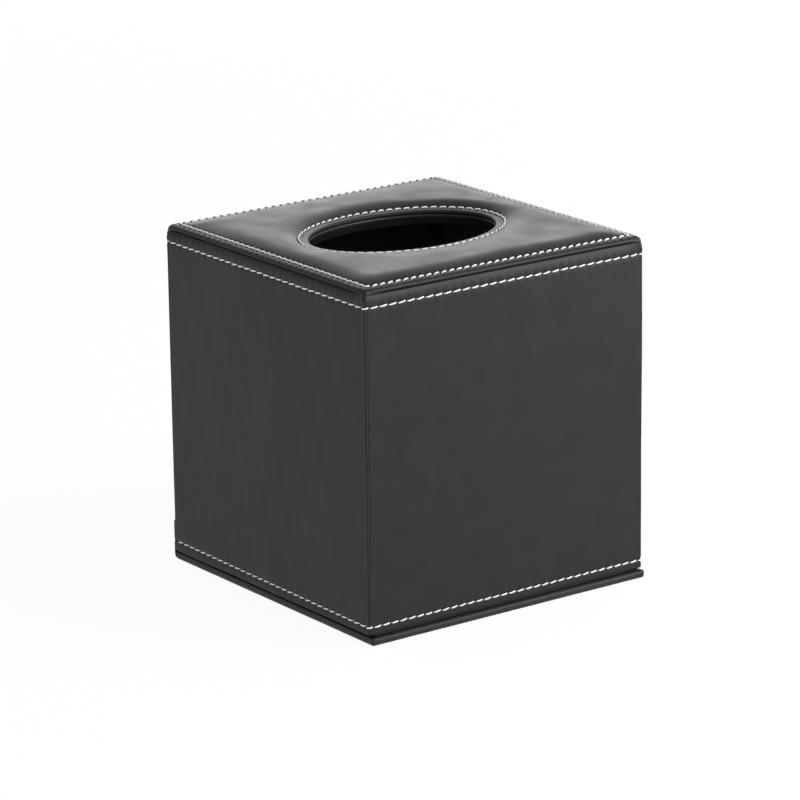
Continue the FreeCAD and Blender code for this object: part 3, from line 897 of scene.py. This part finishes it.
def stitch_row(name, track, stitches, level, lean_degrees, tilt, seed, node, extra=None, climbing=False,
               proud=0.06 * MM, thick=1.0):
    """Row of stitches along a track: on a wall where the lean is 0, else on the panel, leaning outwards."""
    u = np.linspace(-1, 1, thread_steps)
    half = track.pitch * stitch_share / 2
    s = stitches[:, None] + u[None] * half
    xy = track.at(s)
    ahead = track.tangent(s)
    outward = np.stack([ahead[..., 1], -ahead[..., 0]], -1)
    zero = np.zeros(s.shape + (1,))
    rise = np.broadcast_to([0.0, 0.0, 1.0], s.shape + (3,))
    out3 = np.concatenate([outward, zero], -1)
    middles = np.concatenate([xy + centre, zero + level + (climb(xy[..., 1:]) if climbing else 0.0)], -1)
    if lean_degrees:
        lean = math.radians(lean_degrees)
        across = -out3 * math.cos(lean) + rise * math.sin(lean)
        up = rise * math.cos(lean) + out3 * math.sin(lean)
    else:
        across, up = rise, out3
    points = thread_bars(middles, across, up, half, tilt, seed, height=proud, thick=thick)
    if extra is not None:
        points = np.concatenate([points, extra])
    faces = thread_faces(len(points), thread_steps, points.shape[2])
    make_object(name, points, faces, thread, "box", [node])


def hinge_threads(seed):
    """The part of the lower row that runs over the hinge strip on the back."""
    mid = hinge_half - hinge_pitch * (np.arange(hinge_stitches) + 0.5)
    half = hinge_pitch * stitch_share / 2
    u = np.linspace(-1, 1, thread_steps)
    x = mid[:, None] - u[None] * half
    level = lower_row + climb(half_y)
    middles = np.stack([x, np.full(x.shape, hinge_high.y), np.full(x.shape, level)], -1)
    across = np.broadcast_to([0.0, 0.0, 1.0], middles.shape)
    up = np.broadcast_to([0.0, 1.0, 0.0], middles.shape)
    return thread_bars(middles, across, up, half, 0.1, seed, height=0.0)


# The lower row leaves the side walls at the back corners.
side_run = lower_track.total / 4
back_start = 2 * side_run - 0.6 * lower_track.pitch
back_end = 3 * side_run + 0.4 * lower_track.pitch


def make_stitching():
    """The four rows of stitches."""
    stitch_row("upper_wall_threads", upper_track, upper_track.stitches, upper_row, 0, 0.1, 51,
               "upper_wall_stitching")
    along = np.mod(lower_track.stitches, lower_track.total)
    on_walls = lower_track.stitches[(along < back_start) | (along > back_end)]
    stitch_row("lower_wall_threads", lower_track, on_walls, lower_row, 0, 0.1, 52,
               "lower_wall_stitching", extra=hinge_threads(53), climbing=True)
    stitch_row("panel_edge_threads", edge_track, edge_track.stitches, panel_top, 16, 0.2, 54,
               "top_edge_stitching", proud=0.18 * MM, thick=1.15)
    stitch_row("mouth_threads", mouth_track, mouth_track.stitches, panel_top, -8, 0.1, 55,
               "mouth_stitching", proud=0.12 * MM)


def dress_nodes():
    """Procedural finishes on the pieces that the frame itself brings."""
    finishes = {"board": board, "lining": lining, "magnet": magnet}
    slots = {entry["node"]: entry["material_slot"] for entry in frame["record"]["subparts"]}
    for node, piece in frame["nodes"].items():
        if slots[node] in finishes:
            piece.data.materials.clear()
            piece.data.materials.append(finishes[slots[node]])


# ---- stage, light and camera -------------------------------------------------------
def light_path_white(tree):
    """1 for rays from the camera and for reflected or refracted ones, else 0."""
    path = tree.nodes.new("ShaderNodeLightPath").outputs
    bent = add_math(tree, "MAXIMUM", path["Is Glossy Ray"], path["Is Transmission Ray"])
    return add_math(tree, "MAXIMUM", path["Is Camera Ray"], bent)


def make_floor():
    """Pale floor that keeps the object's soft shadow."""
    reach, level = 6.0, -0.3 * MM
    corners = [(-reach, -reach, level), (reach, -reach, level), (reach, reach, level), (-reach, reach, level)]
    mesh = bpy.data.meshes.new("floor")
    mesh.from_pydata(corners, [], [(0, 1, 2, 3)])
    floor = new_object("floor", mesh)
    material = bpy.data.materials.new("floor")
    material.use_nodes = True
    tree = material.node_tree
    tree.nodes.clear()
    new, link = tree.nodes.new, tree.links.new
    out = new("ShaderNodeOutputMaterial")
    plain = new("ShaderNodeBsdfDiffuse")
    plain.inputs["Color"].default_value = (0.9, 0.9, 0.9, 1)
    glow = new("ShaderNodeEmission")
    part_white = new("ShaderNodeMixShader")
    part_white.inputs[0].default_value = 0.94
    pick = new("ShaderNodeMixShader")
    link(plain.outputs[0], part_white.inputs[1])
    link(glow.outputs[0], part_white.inputs[2])
    link(light_path_white(tree), pick.inputs[0])
    link(plain.outputs[0], pick.inputs[1])
    link(part_white.outputs[0], pick.inputs[2])
    link(pick.outputs[0], out.inputs[0])
    mesh.materials.append(material)


def make_world(ambient, ceiling, lean):
    """White for the camera, plain light elsewhere.

    Reflections darken from the horizon to the ceiling and, by lean, towards the left.
    """
    world = bpy.data.worlds.new("studio")
    bpy.context.scene.world = world
    world.use_nodes = True
    tree = world.node_tree
    new, link = tree.nodes.new, tree.links.new
    direction = new("ShaderNodeSeparateXYZ")
    link(new("ShaderNodeTexCoord").outputs["Generated"], direction.inputs[0])
    sky = new("ShaderNodeMapRange")
    horizon, overhead = 0.22, 0.66              # sine of the height where the darkening starts and ends
    for name, value in (("From Min", horizon), ("From Max", overhead), ("To Min", 1.0), ("To Max", ceiling)):
        sky.inputs[name].default_value = value
    leaning = add_math(tree, "MULTIPLY_ADD", direction.outputs["X"], -lean, direction.outputs["Z"])
    link(leaning, sky.inputs["Value"])
    from_camera = new("ShaderNodeLightPath").outputs["Is Camera Ray"]
    level = new("ShaderNodeMix")
    level.inputs["A"].default_value = ambient
    link(light_path_white(tree), level.inputs["Factor"])
    link(add_math(tree, "MAXIMUM", from_camera, sky.outputs["Result"]), level.inputs["B"])
    background = tree.nodes["Background"]
    background.inputs["Color"].default_value = (1, 1, 1, 1)
    link(level.outputs["Result"], background.inputs["Strength"])


def softbox(name, place, target, width, height, watts):
    """Soft lamp that the camera doesn't see."""
    light = bpy.data.lights.new(name, "AREA")
    light.shape = "RECTANGLE"
    light.size, light.size_y = width, height
    light.energy = watts
    lamp = new_object(name, light)
    lamp.location = place
    aim = Vector(target) - Vector(place)
    lamp.rotation_euler = aim.to_track_quat("-Z", "Y").to_euler()
    lamp.visible_camera = False


def make_camera():
    """Long lens from the front left, a little above the box."""
    turned, raised, rolled = math.radians(-36.12), math.radians(16.27), math.radians(-0.71)
    distance, focal_px, frame_px = 1.666, 4242.0, 800.0
    aim = np.array([0.0, 0.0, 0.0706])
    aim_px = (405.25, 396.97)
    back = np.array([math.sin(turned) * math.cos(raised), -math.cos(turned) * math.cos(raised),
                     math.sin(raised)])
    level = np.array([math.cos(turned), math.sin(turned), 0.0])
    rise = np.cross(back, level)
    right = math.cos(rolled) * level + math.sin(rolled) * rise
    up = -math.sin(rolled) * level + math.cos(rolled) * rise
    aside = (aim_px[0] - frame_px / 2) / focal_px * distance
    above = -(aim_px[1] - frame_px / 2) / focal_px * distance
    place = aim + back * distance - right * aside - up * above
    data = bpy.data.cameras.new("camera")
    data.sensor_width = 36.0
    data.lens = focal_px / frame_px * data.sensor_width
    data.clip_start, data.clip_end = 0.05, 50.0
    camera = new_object("camera", data)
    matrix = np.eye(4)
    matrix[:3] = np.column_stack([right, up, back, place])
    camera.matrix_world = Matrix(matrix.tolist())
    bpy.context.scene.camera = camera


make_camera()
make_wall_wrap()
make_panel_cover()
make_panel_foam()
make_panel_board()
make_mouth_collar()
make_flap()
make_hinge()
make_stitching()
dress_nodes()
make_floor()
make_world(ambient=0.6, ceiling=0.3, lean=0.3)
softbox("key", (0.85, -1.02, 1.06), (0, 0, 0.06), 0.9, 0.9, 20)
softbox("side", (0.50, -0.42, 0.20), (0, 0, 0.07), 0.3, 0.3, 1.8)
softbox("left", (-1.05, -0.35, 0.32), (0, 0, 0.05), 0.6, 0.6, 1)
softbox("rear", (1.02, 1.40, 0.52), (0, 0, 0.14), 1.4, 0.5, 5)
bpy.context.scene.view_settings.view_transform = "Standard"
